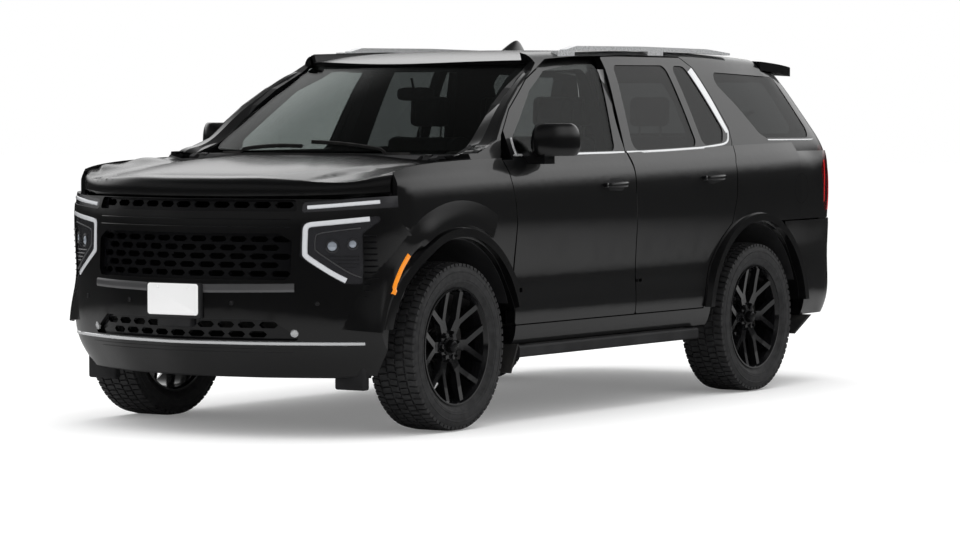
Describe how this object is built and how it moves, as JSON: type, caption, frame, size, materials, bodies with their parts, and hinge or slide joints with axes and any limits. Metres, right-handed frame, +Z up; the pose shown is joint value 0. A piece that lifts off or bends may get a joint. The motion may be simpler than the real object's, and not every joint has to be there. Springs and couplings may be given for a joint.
{
  "type": "sport utility vehicle",
  "caption": "Large black family utility vehicle with opening doors, hood and liftgate, steered front wheels, roof rails and running boards.",
  "frame": {"origin": "on the ground under the middle of the vehicle, at the centre of its bounding box's bottom face", "axes": "+X towards the vehicle's left side, -Y towards its nose, +Z up"},
  "size_m": [2.3452, 5.3498, 1.927],
  "materials": {
    "black_paint": "gloss black paint under clear coat",
    "gloss_black_plastic": "gloss black moulding",
    "black_plastic": "grained black plastic",
    "black_rubber": "matt black rubber",
    "chassis_black": "satin black frame coating",
    "cast_block": "rough cast metal",
    "exhaust_steel": "dull steel",
    "carpet": "dark carpet over sheet metal",
    "clear_glass": "lightly green laminated glass",
    "tinted_glass": "dark privacy glass",
    "lamp_glass": "clear lamp cover",
    "red_lamp": "red lamp cover",
    "bright_metal": "satin bright aluminium",
    "black_leather": "black grained leather",
    "black_wheel": "gloss black wheel",
    "tyre_rubber": "black tyre rubber"
  },
  "bodies": {
    "body": {"frame": "chassis_black", "engine": "cast_block", "front_suspension": "chassis_black", "rear_axle": "chassis_black", "driveline": "cast_block", "exhaust": "exhaust_steel", "fuel_tank": "black_plastic", "tow_receiver": "chassis_black", "floor": "carpet", "arch_liners": "black_plastic", "cowl": "black_plastic", "body_side_left": "black_paint", "body_side_right": "black_paint", "fenders": "black_paint", "roof": "black_paint", "windshield": "clear_glass", "quarter_glass": "tinted_glass", "front_bumper": "black_paint", "grille": "gloss_black_plastic", "headlamps": "lamp_glass", "upper_lamps": "lamp_glass", "rear_bumper": "black_paint", "tail_lamps": "red_lamp", "running_boards": "black_plastic", "roof_rails": "bright_metal", "mud_flaps": "black_rubber", "front_seats": "black_leather", "middle_seat": "black_leather", "rear_seat": "black_leather", "dashboard": "black_plastic", "steering_wheel": "black_leather"},
    "upright_left": {"knuckle_left": "cast_block"},
    "upright_right": {"knuckle_right": "cast_block"},
    "front_door_left": {"front_door_left": "black_paint", "front_glass_left": "tinted_glass", "mirror_left": "black_paint"},
    "front_door_right": {"front_door_right": "black_paint", "front_glass_right": "tinted_glass", "mirror_right": "black_paint"},
    "rear_door_left": {"rear_door_left": "black_paint", "rear_glass_left": "tinted_glass"},
    "rear_door_right": {"rear_door_right": "black_paint", "rear_glass_right": "tinted_glass"},
    "hood": {"hood": "black_paint"},
    "liftgate": {"liftgate": "black_paint", "liftgate_glass": "tinted_glass"},
    "front_wheel_left": {"wheel_front_left": "black_wheel", "tyre_front_left": "tyre_rubber"},
    "front_wheel_right": {"wheel_front_right": "black_wheel", "tyre_front_right": "tyre_rubber"},
    "rear_wheel_left": {"wheel_rear_left": "black_wheel", "tyre_rear_left": "tyre_rubber"},
    "rear_wheel_right": {"wheel_rear_right": "black_wheel", "tyre_rear_right": "tyre_rubber"}
  },
  "joints": [
    {"name": "steer_left", "type": "hinge", "parent": "body", "child": "upright_left", "pos_m": [0.755, -1.676, 0.417], "axis": [0, 0, 1], "range_deg": [-35, 35]},
    {"name": "front_wheel_left", "type": "hinge", "parent": "upright_left", "child": "front_wheel_left", "pos_m": [0.87, -1.676, 0.417], "axis": [1, 0, 0], "continuous": true},
    {"name": "rear_wheel_left", "type": "hinge", "parent": "body", "child": "rear_wheel_left", "pos_m": [0.87, 1.395, 0.417], "axis": [1, 0, 0], "continuous": true},
    {"name": "front_door_left", "type": "hinge", "parent": "body", "child": "front_door_left", "pos_m": [0.9728, -1.09951, 0.9], "axis": [0, 0, -1], "range_deg": [0, 70]},
    {"name": "rear_door_left", "type": "hinge", "parent": "body", "child": "rear_door_left", "pos_m": [0.97226, 0.09792, 0.9], "axis": [0, 0, -1], "range_deg": [0, 70]},
    {"name": "steer_right", "type": "hinge", "parent": "body", "child": "upright_right", "pos_m": [-0.755, -1.676, 0.417], "axis": [0, 0, 1], "range_deg": [-35, 35]},
    {"name": "front_wheel_right", "type": "hinge", "parent": "upright_right", "child": "front_wheel_right", "pos_m": [-0.87, -1.676, 0.417], "axis": [1, 0, 0], "continuous": true},
    {"name": "rear_wheel_right", "type": "hinge", "parent": "body", "child": "rear_wheel_right", "pos_m": [-0.87, 1.395, 0.417], "axis": [1, 0, 0], "continuous": true},
    {"name": "front_door_right", "type": "hinge", "parent": "body", "child": "front_door_right", "pos_m": [-0.9728, -1.09951, 0.9], "axis": [0, 0, 1], "range_deg": [0, 70]},
    {"name": "rear_door_right", "type": "hinge", "parent": "body", "child": "rear_door_right", "pos_m": [-0.97226, 0.09792, 0.9], "axis": [0, 0, 1], "range_deg": [0, 70]},
    {"name": "hood_lift", "type": "hinge", "parent": "body", "child": "hood", "pos_m": [0, -1.49107, 1.34304], "axis": [-1, 0, 0], "range_deg": [0, 48]},
    {"name": "liftgate_lift", "type": "hinge", "parent": "body", "child": "liftgate", "pos_m": [0, 1.931, 1.86592], "axis": [1, 0, 0], "range_deg": [0, 80]}
  ],
  "couplings": [
    {"joint": "steer_right", "follows": "steer_left", "ratio": 1}
  ]
}
